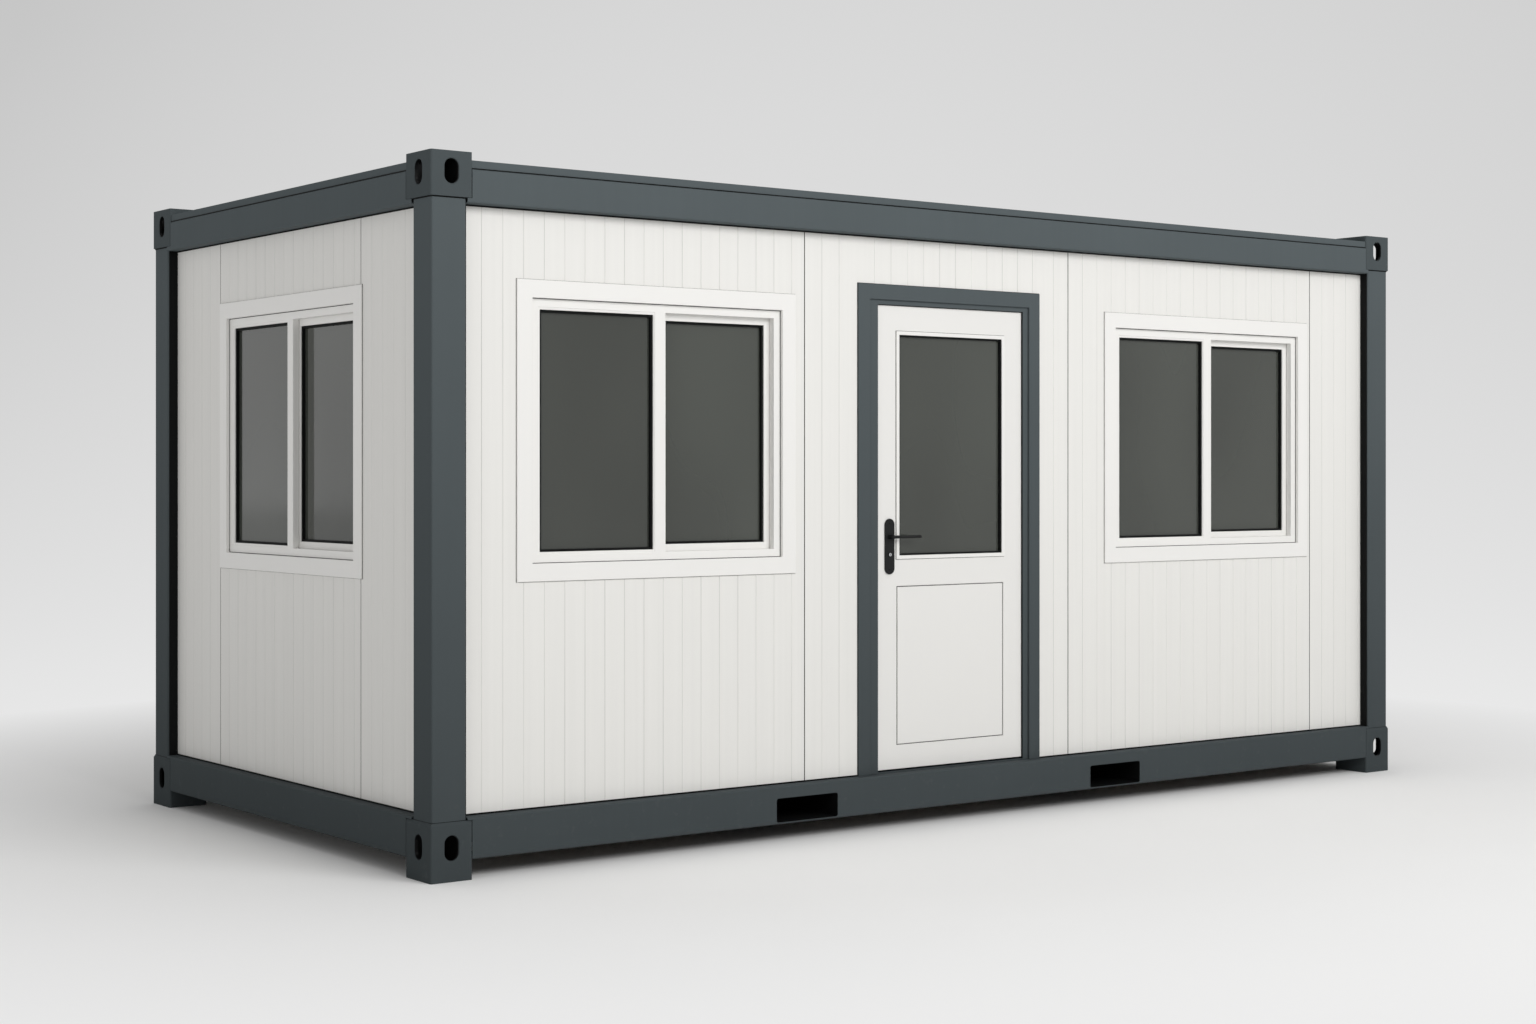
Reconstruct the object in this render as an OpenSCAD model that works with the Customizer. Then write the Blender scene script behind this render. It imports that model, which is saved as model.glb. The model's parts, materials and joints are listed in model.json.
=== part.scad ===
// Container house: a bolted steel corner frame on castings, closed with sandwich wall
// panels, with sliding windows and one door that opens inward.
// The door side faces -Y. Origin: middle of the footprint, at ground level.

/* [Frame] */
// Overall length, along X
house_l = 5870; // [5400:10:7000]
// Overall width, along Y
house_w = 2820; // [2600:10:3400]
// Overall height
house_h = 2896; // [2800:4:3000]
// Side of a corner post
post_side = 155; // [130:5:160]
// How far posts sit back from the casting faces
post_inset = 8; // [4:1:12]
// Thickness of the folded steel
steel_t = 4; // [3:0.5:6]

/* [Corner castings] */
// Size along X
casting_x = 188; // [180:1:200]
// Size along Y
casting_y = 212; // [200:1:220]
// Height of a top casting
top_casting_h = 181; // [170:1:190]
// Height of a bottom casting, which is also a foot
bottom_casting_h = 237; // [230:1:240]
// Wall thickness of a casting
casting_wall = 16; // [12:1:20]
// Length of the slot that a twistlock enters
lock_slot_l = 124; // [120:1:130]
// Width of the slot that a twistlock enters
lock_slot_w = 63.5; // [60:0.5:66]
// Height of the side slots
side_slot_h = 100; // [90:1:110]
// Chamfer round each slot
slot_rim = 3; // [1:0.5:5]

/* [Rails] */
// Bottom edge of a bottom rail above the ground
bottom_rail_z = 80; // [60:1:100]
// Top of a bottom rail, where walls and door stand
floor_z = 248; // [244:1:260]
// Underside of a top rail
top_rail_z = 2694; // [2600:1:2700]
// Top of a top rail
top_rail_top = 2830; // [2820:1:2840]
// Depth of the rail flanges that carry the walls
rail_flange = 150; // [140:1:160]

/* [Fork pockets] */
// Width of a fork pocket
fork_w = 340; // [300:5:360]
// Height of a fork pocket
fork_h = 105; // [90:1:110]
// Middle of each pocket, from the left end
fork_at = [1875, 3783];

/* [Walls] */
// Thickness of a wall panel
wall_t = 75; // [50:5:90]
// Setback of a wall's outer face behind the castings
wall_set = 58; // [50:1:66]
// Width of the open joint between two panels
joint_w = 5; // [3:0.5:6]
// Spacing of the fine grooves in a panel's outer skin
rib_step = 98; // [60:1:150]
// Height of the rubber strips above and below the panels
strip_h = 5; // [4:1:10]

/* [Windows] */
// Width of the left window on the door side, over its trim
window_a_w = 1426; // [1300:2:1440]
// Width of the right window on the door side, over its trim
window_b_w = 1500; // [1300:2:1520]
// Width of an end wall's window, over its trim
window_end_w = 1442; // [1300:2:1450]
// Bottom of the windows' trim
window_z = 1175; // [900:1:1300]
// Height of a window, over its trim
window_h = 1234; // [900:2:1300]
// Width of the flat trim round a window
trim_w = 74; // [60:1:80]
// How far the trim stands out from the wall
trim_out = 8; // [4:1:12]
// Width of the bars of a sliding sash
sash_bar = 60; // [45:1:70]
// Width of the bar between a window's two lights
mullion_w = 56; // [50:1:60]

/* [Door] */
// Width over the door frame
door_frame_w = 1118; // [1100:1:1140]
// Top of the door frame
door_frame_top = 2477; // [2400:1:2500]
// Width of the door frame's face
door_face = 68; // [60:1:70]
// Width of the lip that the door closes behind, at its hinges
door_lip = 31; // [25:1:40]
// Height of the lip over the door
head_lip = 22; // [15:1:30]
// Thickness of the door leaf
leaf_t = 44; // [40:1:48]
// Clearance round the door leaf
leaf_gap = 7; // [6:0.5:9]
// Height of the lever's spindle
lever_z = 1326; // [1200:1:1400]
// Length of a lever, from its spindle
lever_l = 164; // [120:1:175]

/* [Hidden] */
$fn = 48;

frame_grey = "#565d5f";
panel_white = "#e5e4e0";
trim_white = "#efeeea";
glass_grey = "#54554f";
rubber_black = "#26282a";
hardware_black = "#1c1d1f";
hinge_steel = "#9a9da0";
deck_brown = "#8c7a64";

half_l = house_l / 2;
half_w = house_w / 2;
web_set = 2;
post_edge = post_inset + post_side;
bend_r = 8;
post_gap = 4;

// Side names: [turn about Z, distance from the origin to the side's outer plane, half its length]
front = [0, half_w, half_l];
back = [180, half_w, half_l];
left = [-90, half_l, half_w];
right = [90, half_l, half_w];

// Places along the door side, from its left end
seam_a = 1901;
seam_b = 3517;
seam_c = 5289;
window_a_x = 1135;
window_b_x = 4512;
door_x = 2775;

// Places along an end wall, from its front end
end_seam_a = 714;
end_seam_b = 2147;
window_end_x = 1419;

wall_z0 = floor_z + strip_h;
wall_z1 = top_rail_z - strip_h;

// Door, measured from the leaf's middle and from the outer plane of the side. The jamb at
// the lever has a wider lip, so the leaf isn't in the middle of its frame.
leaf_half = 461;
leaf_lap = 13;
lip_half = leaf_half - leaf_lap;
frame_right = lip_half + door_lip + door_face;
frame_left = frame_right - door_frame_w;
frame_set = 50;
lip_set = 61;
lip_t = 6;
lip_gap = 5;
leaf_set = lip_set + lip_t + lip_gap;
leaf_back = leaf_set + leaf_t;
rebate_half = leaf_half + leaf_gap;
casing_w = 26;
lip_z = door_frame_top - door_face - head_lip;
leaf_z0 = floor_z + 14;
leaf_z1 = lip_z + 10;
threshold_h = 5;
glass_half = 317;
glass_z0 = 1240;
glass_z1 = 2252;
bead_w = 17;
door_groove_w = 6;
door_panel_z0 = 370;
door_panel_z1 = 1100;

// Hinges
hinge_r = 8;
hinge_pin_r = 4;
hinge_run = 0.08;
hinge_h = 105;
hinge_plate_w = 38;
hinge_plate_t = 3;
hinge_gap = 1;
hinge_x = leaf_half + leaf_gap / 2;
hinge_y = leaf_back + hinge_r + 1;
hinge_zs = [leaf_z0 + 220, (leaf_z0 + leaf_z1) / 2, leaf_z1 - 220];

// Lever set, on the leaf's free side
lever_x = -375;
plate_w = 55;
plate_z0 = 1155;
plate_z1 = 1409;
plate_t = 7;
neck_r = 10;
neck_run = 0.1;
spindle_r = 6;
grip_t = 14;
lever_out = 43;
keyhole_z = 1245;
keyhole_r = 9;
keyhole_out = 3;

// ---------- Helpers ----------

// Puts a side's own drawing (x to the right seen from outside, y inward) on that side
module on_side(side) rotate([0, 0, side[0]]) translate([0, -side[1], 0]) children();

// Rectangle with true round corners
module round_rect(w, h, r) {
    translate([r, 0]) square([w - 2 * r, h]);
    translate([0, r]) square([w, h - 2 * r]);
    for (x = [r, w - r], y = [r, h - r]) translate([x, y]) circle(r);
}

// Slot with round ends, centred, long way along X
module slot_2d(l, w) {
    square([l - w, w], center = true);
    for (s = [-1, 1]) translate([s * (l - w) / 2, 0]) circle(d = w);
}

// Rectangular ring standing in XZ, centred on x = 0
module ring(w, z0, h, bar, y0, t) {
    difference() {
        translate([-w / 2, y0, z0]) cube([w, t, h]);
        translate([-w / 2 + bar, y0 - 1, z0 + bar]) cube([w - 2 * bar, t + 2, h - 2 * bar]);
    }
}

// ---------- Corner castings ----------

casting_r = 10;

// Cutter for a slot with a chamfered mouth at z = 0, long way along X, going up
module slot_cut(l) {
    straight = l - lock_slot_w;
    r = lock_slot_w / 2;
    grow = slot_rim + 1;
    translate([0, 0, -1]) linear_extrude(casting_wall + 2) slot_2d(l, lock_slot_w);
    for (s = [-1, 1]) translate([s * straight / 2, 0, -1])
        cylinder(r1 = r + grow, r2 = r, h = grow);
    translate([-straight / 2, 0, -1]) rotate([90, 0, 90]) linear_extrude(straight)
        polygon([[-r - grow, 0], [r + grow, 0], [r, grow], [-r, grow]]);
}

// One hollow casting with its outer corner at the origin, filling +X and +Y. The lock slot
// is in its underside, and its two outer faces have an upright slot each.
module casting(h, slot_z) {
    difference() {
        linear_extrude(h) round_rect(casting_x, casting_y, casting_r);
        translate([casting_wall, casting_wall, casting_wall])
            cube([casting_x - 2 * casting_wall, casting_y - 2 * casting_wall, h - 2 * casting_wall]);
        translate([casting_x / 2, casting_y / 2, 0]) slot_cut(lock_slot_l);
        translate([casting_x / 2, 0, slot_z]) rotate([-90, 90, 0]) slot_cut(side_slot_h);
        translate([0, casting_y / 2, slot_z]) rotate([0, 90, 0]) slot_cut(side_slot_h);
    }
}

// A casting at each corner, turned by mirroring
module four_corners() {
    for (sx = [0, 1], sy = [0, 1])
        mirror([sx, 0, 0]) mirror([0, sy, 0]) translate([-half_l, -half_w, 0]) children();
}

// A foot's outer faces slope in to the post above them
module foot_slope(l) {
    slope_h = 13;
    rotate([90, 0, 90]) linear_extrude(l)
        polygon([[-1, bottom_casting_h - slope_h], [0, bottom_casting_h - slope_h],
                 [post_inset, bottom_casting_h], [post_inset, bottom_casting_h + 1],
                 [-1, bottom_casting_h + 1]]);
}

module bottom_castings() {
    color(frame_grey) four_corners() difference() {
        casting(bottom_casting_h, 134);
        translate([-1, 0, 0]) foot_slope(casting_x + 2);
        mirror([1, -1, 0]) translate([-1, 0, 0]) foot_slope(casting_y + 2);
    }
}

module top_castings() {
    color(frame_grey) four_corners()
        translate([0, 0, house_h]) mirror([0, 0, 1]) casting(top_casting_h, 80);
}

// ---------- Posts ----------

module post(sx, sy) {
    color(frame_grey) mirror([sx, 0, 0]) mirror([0, sy, 0])
        translate([-half_l + post_inset, -half_w + post_inset, bottom_casting_h])
            linear_extrude(house_h - top_casting_h - bottom_casting_h) difference() {
                round_rect(post_side, post_side, bend_r);
                translate([steel_t, steel_t])
                    round_rect(post_side - 2 * steel_t, post_side - 2 * steel_t, bend_r - steel_t);
            }
}

module front_left_post() post(0, 0);
module front_right_post() post(1, 0);
module back_left_post() post(0, 1);
module back_right_post() post(1, 1);

// ---------- Rails ----------

// Length of a box along a side, between the posts or between the castings
function between_posts(side) = 2 * (side[2] - post_edge);
function between_castings(side) = 2 * (side[2] - (side[0] % 180 == 0 ? casting_x : casting_y));

// Box centred along a side
module side_box(l, y0, y1, z0, z1) {
    translate([-l / 2, y0, z0]) cube([l, y1 - y0, z1 - z0]);
}

// Folded section: a web with a wide flange at the top and a short lipped flange below,
// its outer face on x = 0
module rail_2d(h, short, lip) {
    difference() {
        intersection() {
            square([rail_flange, h]);
            difference() {
                round_rect(2 * rail_flange, h, bend_r);
                translate([steel_t, steel_t])
                    round_rect(2 * rail_flange, h - 2 * steel_t, bend_r - steel_t);
            }
        }
        translate([short, -1]) square([rail_flange, h - steel_t]);
    }
    translate([short - steel_t, 0]) square([steel_t, lip]);
}

// The section runs between the castings, and its wide flange's part goes on nearly to the posts
module rail(side, h, short, lip, over) {
    translate([0, web_set, 0]) rotate([90, 0, 90]) {
        linear_extrude(between_castings(side), center = true) rail_2d(h, short, lip);
        linear_extrude(between_posts(side) - 2 * post_gap, center = true) intersection() {
            rail_2d(h, short, lip);
            translate([0, h - over]) square([rail_flange, over]);
        }
    }
}

module bottom_rail(side) {
    over = floor_z - bottom_casting_h - 1;
    color(frame_grey) on_side(side) translate([0, 0, bottom_rail_z])
        rail(side, floor_z - bottom_rail_z, 70, 22, over);
}

// One fork pocket's outline, centred on x = 0
module pocket_2d(grow) {
    translate([-fork_w / 2 - grow, fork_z - grow])
        round_rect(fork_w + 2 * grow, fork_h + 2 * grow, fork_r + grow);
}

// Runs a pocket outline from front to back at both places
module along_pockets(l) {
    for (x = fork_at) translate([x - half_l, l / 2, 0]) rotate([90, 0, 0])
        linear_extrude(l) children();
}

// The long rails are cut out for the fork pockets
module pocketed_rail(side) {
    difference() {
        bottom_rail(side);
        along_pockets(house_w + 2) pocket_2d(fork_t);
    }
}

// The rail above the walls has the same section turned over
module top_rail(side) {
    over = house_h - top_casting_h - 1 - top_rail_z;
    color(frame_grey) on_side(side) translate([0, 0, top_rail_top]) mirror([0, 0, 1])
        rail(side, top_rail_top - top_rail_z, 62, 24, over);
}

module front_bottom_rail() pocketed_rail(front);
module back_bottom_rail() pocketed_rail(back);
module left_bottom_rail() bottom_rail(left);
module right_bottom_rail() bottom_rail(right);
module front_top_rail() top_rail(front);
module back_top_rail() top_rail(back);
module left_top_rail() top_rail(left);
module right_top_rail() top_rail(right);

// ---------- Floor ----------

fork_z = 89;
fork_t = 3;
fork_r = 10;
joist_w = 40;
joist_z = 108;
deck_t = 20;
joist_pitch = 400;
inner_w = house_w - 2 * (web_set + steel_t);

module fork_pockets() {
    l = house_w - web_set;
    color(frame_grey) difference() {
        along_pockets(l) pocket_2d(fork_t);
        along_pockets(l + 2) pocket_2d(0);
    }
}

// True where a joist at x would run into a fork pocket
function in_pocket(x) = min([for (f = fork_at) abs(x - f + half_l)]) < fork_w / 2 + joist_w;

module floor_joists() {
    h = floor_z - deck_t - joist_z;
    t = 3;
    color(frame_grey) for (x = [-2600 : joist_pitch : 2600]) if (!in_pocket(x))
        translate([x - joist_w / 2, inner_w / 2, joist_z]) rotate([90, 0, 0])
            linear_extrude(inner_w) difference() {
                square([joist_w, h]);
                translate([t, t]) square([joist_w, h - 2 * t]);
            }
}

module floor_deck() {
    reach_x = half_l - web_set - rail_flange;
    reach_y = half_w - web_set - rail_flange;
    color(deck_brown) difference() {
        translate([-reach_x, -reach_y, floor_z - deck_t]) cube([2 * reach_x, 2 * reach_y, deck_t]);
        four_corners() translate([0, 0, floor_z - deck_t - 1]) cube([casting_x, casting_y, deck_t + 2]);
    }
}

// ---------- Roof ----------

roof_edge_set = 8;
roof_edge_top = 2865;
roof_edge_w = 80;
roof_end_w = 205;
roof_end_gap = 1;

// Upright band with a return over the sheet; the ends' returns reach past the castings
module roof_edge() {
    color(frame_grey) for (side = [front, back, left, right]) on_side(side) {
        l = between_castings(side);
        w = side[0] % 180 == 0 ? roof_edge_w : roof_end_w;
        side_box(l, roof_edge_set, roof_edge_set + steel_t, top_rail_top, roof_edge_top);
        side_box(side[0] % 180 == 0 ? l : l - 2 * roof_end_gap, roof_edge_set, roof_edge_set + w,
                 roof_edge_top - steel_t, roof_edge_top);
    }
}

rib_pitch = 250;
rib_foot = 60;
rib_top = 28;
rib_h = 24;
sheet_t = 2;

// Upper edge of one rib of the roof sheet, from its left foot
function rib(x, z) = [[x - rib_foot / 2, z], [x - rib_top / 2, z + rib_h],
                      [x + rib_top / 2, z + rib_h], [x + rib_foot / 2, z]];

// Lies on the long top rails' flanges, between the castings and inside the roof edge
module roof_sheet() {
    w = house_w - 2 * (roof_edge_set + steel_t + 2);
    l = house_l - 2 * (casting_x + 2);
    ribs = floor(l / rib_pitch / 2);
    up = [for (i = [-ribs : ribs]) each rib(i * rib_pitch, sheet_t)];
    down = [for (i = [ribs : -1 : -ribs]) each [for (k = [3 : -1 : 0]) rib(i * rib_pitch, 0)[k]]];
    color(panel_white) translate([0, w / 2, top_rail_top]) rotate([90, 0, 0]) linear_extrude(w)
        polygon(concat([[-l / 2, sheet_t]], up, [[l / 2, sheet_t], [l / 2, 0]], down, [[-l / 2, 0]]));
}

module ceiling() {
    t = 20;
    edge = wall_set + wall_t;
    color(trim_white) difference() {
        translate([-half_l + edge, -half_w + edge, top_rail_z - t])
            cube([house_l - 2 * edge, house_w - 2 * edge, t]);
        four_corners() translate([0, 0, top_rail_z - t - 1]) cube([post_edge, post_edge, t + 2]);
    }
}

// ---------- Wall panels ----------

// Panel edges: 0 plain, 1 jointed. A jointed right edge has the tongue, a left one the groove.
tongue_l = 6;
tongue_y = [27, 50];
seat = 0.2;
skin = 14;

function right_edge(x, jointed) = jointed == 0 ? [[x, 0], [x, wall_t]] :
    [[x - joint_w / 2, 0], [x - joint_w / 2, skin], [x - seat, skin], [x - seat, tongue_y[0]],
     [x + tongue_l, tongue_y[0]], [x + tongue_l, tongue_y[1]], [x - seat, tongue_y[1]],
     [x - seat, wall_t]];

function left_edge(x, jointed) = jointed == 0 ? [[x, wall_t], [x, 0]] :
    [[x + seat, wall_t], [x + seat, tongue_y[1] + seat], [x + tongue_l + seat, tongue_y[1] + seat],
     [x + tongue_l + seat, tongue_y[0] - seat], [x + seat, tongue_y[0] - seat], [x + seat, skin],
     [x + joint_w / 2, skin], [x + joint_w / 2, 0]];

// Fine upright grooves of the outer skin
groove_deep = 1.5;
groove_half = 2;
function grooves(x0, x1) = [for (x = [x0 + rib_step : rib_step : x1 - rib_step / 4])
    each [[x - groove_half, 0], [x, groove_deep], [x + groove_half, 0]]];

// One panel of a side, from x0 to x1 along it
module panel(side, x0, x1, join0, join1, z0 = wall_z0, z1 = wall_z1) {
    color(panel_white) on_side(side) translate([0, wall_set, z0]) linear_extrude(z1 - z0)
        polygon(concat(grooves(x0, x1), right_edge(x1, join1), left_edge(x0, join0)));
}

// Hole that a window's frame fills, in a side's own drawing
module window_hole(w) {
    hole_w = w - 2 * trim_w + 2 * jamb_t;
    translate([-hole_w / 2, 0, window_z + trim_w - jamb_t])
        cube([hole_w, wall_set + wall_t + 1, window_h - 2 * trim_w + 2 * jamb_t]);
}

field_l = half_l - post_edge;
field_w = half_w - post_edge;

module front_wall_left() {
    difference() {
        panel(front, -field_l, seam_a - half_l, 0, 1);
        on_side(front) translate([window_a_x - half_l, 0, 0]) window_hole(window_a_w);
    }
}

module front_wall_right() {
    difference() {
        panel(front, seam_b - half_l, seam_c - half_l, 1, 1);
        on_side(front) translate([window_b_x - half_l, 0, 0]) window_hole(window_b_w);
    }
}

module front_wall_end() panel(front, seam_c - half_l, field_l, 1, 0);
module door_wall_left() panel(front, seam_a - half_l, door_x - half_l + frame_left, 1, 0);
module door_wall_right() panel(front, door_x - half_l + frame_right, seam_b - half_l, 0, 1);
module door_wall_over()
    panel(front, door_x - half_l + frame_left, door_x - half_l + frame_right, 0, 0,
          door_frame_top);

// An end wall's places, measured from its middle; the front end is at +1 or -1
module end_wall(side, front_end) {
    near = front_end * (half_w - end_seam_a);
    far = front_end * (half_w - end_seam_b);
    first = min(near, far);
    last = max(near, far);
    panel(side, -field_w, first, 0, 1);
    difference() {
        panel(side, first, last, 1, 1);
        on_side(side) translate([front_end * (half_w - window_end_x), 0, 0])
            window_hole(window_end_w);
    }
    panel(side, last, field_w, 1, 0);
}

module left_wall() end_wall(left, 1);
module right_wall() end_wall(right, -1);

module back_wall() {
    seams = [-seam_c + half_l, -seam_b + half_l, -seam_a + half_l];
    panel(back, -field_l, seams[0], 0, 1);
    panel(back, seams[0], seams[1], 1, 1);
    panel(back, seams[1], seams[2], 1, 1);
    panel(back, seams[2], field_l, 1, 0);
}

// Rubber that seals the panels: strips against the rails, and a facing on each post's flanks
module wall_strips() {
    post_strip_t = 4;
    color(rubber_black) for (side = [front, back, left, right]) on_side(side) {
        l = between_posts(side);
        difference() {
            for (z = [floor_z, wall_z1])
                side_box(l, wall_set + 2, wall_set + wall_t - 2, z, z + strip_h);
            if (side == front) translate([door_x - half_l + frame_left, 0, floor_z - 1])
                cube([door_frame_w, 200, strip_h + 2]);
        }
        for (s = [0, 1]) mirror([s, 0, 0])
            translate([-l / 2, post_inset + bend_r, floor_z])
                cube([post_strip_t, wall_set - post_inset - bend_r, top_rail_z - floor_z]);
    }
}

// ---------- Windows ----------

jamb_t = 15;
inner_casing_t = 10;
frame_bar = 36;
face_back = 68;
light_t = 27;
fixed_step = 3;
fixed_edge = 5;
fixed_bar = 10;
frame_t = fixed_step + light_t;
sash_back = face_back + frame_t + 2;
sash_play = 6;
stop_bar = 20;
track_w = 8;
seal_back = 7;
seal_w = 10;
glass_back = 20;
glass_t = 5;
glass_held = 5;

clear_h = window_h - 2 * trim_w;
function clear_w(w) = w - 2 * trim_w;

// A light's opening: [left, bottom, right, top]. Light 0 is fixed, light 1 is the sash.
function opening(w, i) = i == 0 ?
    [-clear_w(w) / 2 + frame_bar + fixed_bar,
     window_z + trim_w + frame_bar + fixed_bar,
     -mullion_w / 2 - fixed_edge,
     window_z + trim_w + clear_h - frame_bar - fixed_bar] :
    [-mullion_w / 2 + 4 + sash_bar,
     window_z + trim_w + sash_play + sash_bar,
     clear_w(w) / 2 - sash_play - sash_bar,
     window_z + trim_w + clear_h - sash_play - sash_bar];

// Depth of a light's outer face
light_face = [face_back + fixed_step, sash_back];

// Box over a light's opening, grown on all four sides, from y0 to y1 behind the light's face
module light_box(w, i, grow, y0, y1) {
    o = opening(w, i);
    translate([o[0] - grow, light_face[i] + y0, o[1] - grow])
        cube([o[2] - o[0] + 2 * grow, y1 - y0, o[3] - o[1] + 2 * grow]);
}

// Flat outer trim, frame with its fixed light and mullion, sash track, stop and inner casing
module window_frame(w) {
    c = clear_w(w);
    z = window_z + trim_w;
    color(trim_white) {
        ring(w, window_z, window_h, trim_w, wall_set - trim_out, trim_out);
        ring(c + 2 * jamb_t, z - jamb_t, clear_h + 2 * jamb_t, jamb_t, wall_set - 1, wall_t + 1);
        ring(c + 1, z - 0.5, clear_h + 1, frame_bar + 0.5, face_back, frame_t);
        translate([-mullion_w / 2, face_back, z]) cube([mullion_w, frame_t, clear_h]);
        difference() {
            translate([-c / 2, face_back + fixed_step, z])
                cube([c / 2, light_t, clear_h]);
            light_box(w, 0, 0, -1, light_t + 1);
        }
        translate([-c / 2, sash_back + (light_t - track_w) / 2, z - 1])
            cube([c, track_w, sash_play + 1]);
        ring(c + 1, z - 0.5, clear_h + 1, stop_bar + 0.5, sash_back + light_t + 1,
             wall_set + wall_t - sash_back - light_t - 1);
        ring(w - 40, window_z + 20, window_h - 40, trim_w - 20, wall_set + wall_t, inner_casing_t);
    }
}

module sash(w) {
    difference() {
        light_box(w, 1, sash_bar, 0, light_t);
        light_box(w, 1, 0, -1, light_t + 1);
    }
}

module pane(w, i) light_box(w, i, glass_held - seal_w, glass_back, glass_back + glass_t);

// Black seal with a channel for the glass
module seal(w, i) {
    difference() {
        light_box(w, i, 0, seal_back, light_t);
        light_box(w, i, -seal_w, seal_back - 1, light_t + 1);
        pane(w, i);
    }
}

// Every window: [side, middle along the side, width]
windows = [[front, window_a_x - half_l, window_a_w], [front, window_b_x - half_l, window_b_w],
           [left, half_w - window_end_x, window_end_w],
           [right, window_end_x - half_w, window_end_w]];

module at_window(k) on_side(windows[k][0]) translate([windows[k][1], 0, 0]) children();

module front_left_window() at_window(0) window_frame(windows[0][2]);
module front_right_window() at_window(1) window_frame(windows[1][2]);
module left_window() at_window(2) window_frame(windows[2][2]);
module right_window() at_window(3) window_frame(windows[3][2]);

module window_sashes() {
    color(trim_white) for (k = [0 : 3]) at_window(k) sash(windows[k][2]);
}

module window_seals() {
    color(rubber_black) for (k = [0 : 3], i = [0, 1]) at_window(k) seal(windows[k][2], i);
}

module window_glass() {
    color(glass_grey) for (k = [0 : 3], i = [0, 1]) at_window(k) pane(windows[k][2], i);
}

// ---------- Door ----------

module at_door() translate([door_x - half_l, -half_w, 0]) children();

// Outline of one jamb in plan, at the left, from its outer edge x inward
module door_jamb_outline(x) {
    polygon([[x, frame_set], [x + door_face, frame_set], [x + door_face, lip_set],
             [-lip_half, lip_set], [-lip_half, lip_set + lip_t], [-rebate_half, lip_set + lip_t],
             [-rebate_half, leaf_back], [x + casing_w, leaf_back],
             [x + casing_w, wall_set + wall_t], [x, wall_set + wall_t]]);
}

// Box of the head, right across the frame
module head_box(y0, y1, z0, z1) {
    translate([frame_left, y0, z0]) cube([door_frame_w, y1 - y0, z1 - z0]);
}

// The head has the same outline as the jambs, turned up; a low threshold joins their feet
module door_frame() {
    color(frame_grey) at_door() {
        translate([0, 0, floor_z]) linear_extrude(door_frame_top - floor_z) {
            door_jamb_outline(frame_left);
            mirror([1, 0]) door_jamb_outline(-frame_right);
        }
        head_box(frame_set, lip_set, door_frame_top - door_face, door_frame_top);
        head_box(lip_set, lip_set + lip_t, lip_z, door_frame_top);
        head_box(lip_set + lip_t, leaf_back, leaf_z1 + leaf_gap, door_frame_top);
        head_box(leaf_back, wall_set + wall_t, door_frame_top - casing_w, door_frame_top);
        side_box(2 * rebate_half + 2, lip_set, leaf_back, floor_z, floor_z + threshold_h);
    }
}

// Opening for the door's glass, from its middle
module door_light(grow, y0, y1) {
    translate([-glass_half - grow, y0, glass_z0 - grow])
        cube([2 * (glass_half + grow), y1 - y0, glass_z1 - glass_z0 + 2 * grow]);
}

module door_leaf() {
    groove_t = 3;
    color(panel_white) at_door() difference() {
        side_box(2 * leaf_half, leaf_set, leaf_back, leaf_z0, leaf_z1);
        door_light(4, leaf_set - 1, leaf_back + 1);
        for (y = [leaf_set, leaf_back])
            ring(2 * (glass_half + bead_w) - 8, door_panel_z0, door_panel_z1 - door_panel_z0,
                 door_groove_w, y - groove_t, 2 * groove_t);
        translate([lever_x, leaf_set - 1, lever_z]) rotate([-90, 0, 0])
            cylinder(r = neck_r + 4, h = leaf_t + 2);
    }
}

module door_glass() {
    t = 18;
    mid = leaf_set + leaf_t / 2;
    color(glass_grey) at_door() door_light(4, mid - t / 2, mid + t / 2);
}

// Square beads that hold the glass, outside and inside
module door_bead() {
    t = 6;
    color(trim_white) at_door() for (y = [leaf_set - t, leaf_back])
        ring(2 * (glass_half + bead_w), glass_z0 - bead_w, glass_z1 - glass_z0 + 2 * bead_w,
             bead_w, y, t);
}

// ---------- Hinges ----------

third = hinge_h / 3;

// Frame leaf: plate on the frame's inner face, two knuckles and the pin
module frame_hinges() {
    color(hinge_steel) at_door() for (z = hinge_zs) translate([hinge_x, hinge_y, z - hinge_h / 2]) {
        translate([hinge_r + 2, leaf_back - hinge_y, 0]) cube([hinge_plate_w, hinge_plate_t, hinge_h]);
        for (k = [0, 2]) translate([0, 0, k * third]) {
            cylinder(r = hinge_r, h = third - hinge_gap);
            translate([0, leaf_back - hinge_y, 0])
                cube([hinge_r + 3, hinge_plate_t, third - hinge_gap]);
        }
        cylinder(r = hinge_pin_r, h = hinge_h - hinge_gap);
    }
}

// Door leaf of the hinge: plate on the door's inner face and one knuckle
module door_hinges() {
    color(hinge_steel) at_door() for (z = hinge_zs) translate([hinge_x, hinge_y, z - hinge_h / 2]) {
        translate([-hinge_r - 2 - hinge_plate_w, leaf_back - hinge_y, 0])
            cube([hinge_plate_w, hinge_plate_t, hinge_h]);
        difference() {
            union() {
                translate([0, 0, third]) cylinder(r = hinge_r, h = third - hinge_gap);
                translate([-hinge_r - 3, leaf_back - hinge_y, third])
                    cube([hinge_r + 3, hinge_plate_t, third - hinge_gap]);
            }
            translate([0, 0, third - 1]) cylinder(r = hinge_pin_r + hinge_run, h = third + 2);
        }
    }
}

// ---------- Lever set ----------

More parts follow.
